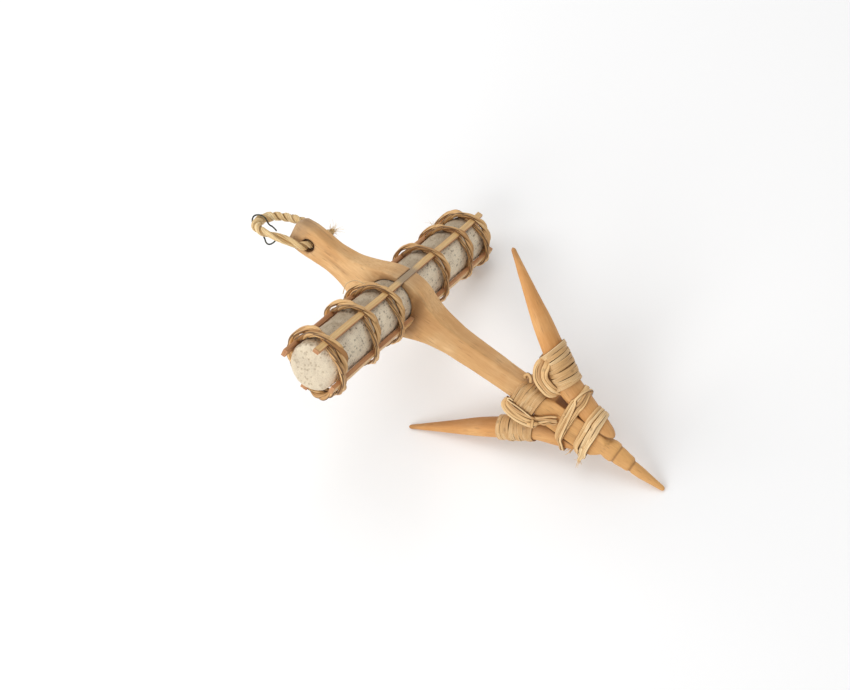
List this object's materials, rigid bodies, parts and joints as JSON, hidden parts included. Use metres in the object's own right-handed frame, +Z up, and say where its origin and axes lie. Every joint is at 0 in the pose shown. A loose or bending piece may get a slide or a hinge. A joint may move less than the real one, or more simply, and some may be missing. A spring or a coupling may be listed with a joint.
{
  "type": "stone-stocked anchor model",
  "caption": "Small lashed killick anchor with a carved wooden shank and arms, a caged stone stock, cane lashings, a rope becket and a wire ring.",
  "frame": {"origin": "centre of the underside of the anchor's box as it lies at rest, measured without the rope and the wire ring, on the surface that it rests on", "axes": "+Z up from that surface; +X along the shank's track on the surface, towards the pointed crown; +Y to the left of that, on the side of the stock's low end"},
  "size_m": [0.2625, 0.175, 0.1387],
  "materials": {
    "carved_wood": "matte",
    "arm_wood": "matte",
    "grey_stone": "matte",
    "split_splint": "satin",
    "cane": "matte",
    "twisted_fibre": "matte",
    "dark_wire": "satin"
  },
  "bodies": {
    "anchor": {"cross_strand": "cane", "high_aft_splint": "split_splint", "high_end_lashing": "cane", "high_fore_splint": "split_splint", "high_inner_lashing": "cane", "high_middle_lashing": "cane", "high_under_splint": "split_splint", "low_aft_splint": "split_splint", "low_end_lashing": "cane", "low_fore_splint": "split_splint", "low_inner_lashing": "cane", "low_middle_lashing": "cane", "low_under_splint": "split_splint", "lower_arm": "arm_wood", "lower_arm_band": "cane", "lower_throat_lashing": "cane", "middle_crown_lashing": "cane", "outer_crown_lashing": "cane", "shank": "carved_wood", "shank_band": "cane", "stone_stock": "grey_stone", "top_splint": "split_splint", "upper_arm": "arm_wood", "upper_arm_band": "cane", "upper_throat_lashing": "cane"},
    "rope_loop": {"rope_loop": "twisted_fibre"},
    "wire_ring": {"wire_ring": "dark_wire"}
  },
  "joints": [
    {"name": "becket_swing", "type": "hinge", "parent": "anchor", "child": "rope_loop", "pos_m": [-0.10467, -0.00387, 0.08819], "axis": [-0.2196, 0.8031, -0.5539], "range_deg": [-115, 160]},
    {"name": "wire_ring_swing", "type": "hinge", "parent": "rope_loop", "child": "wire_ring", "pos_m": [-0.13916, -0.01111, 0.09372], "axis": [-0.3134, 0.857, -0.4091], "range_deg": [-45, 45]}
  ]
}
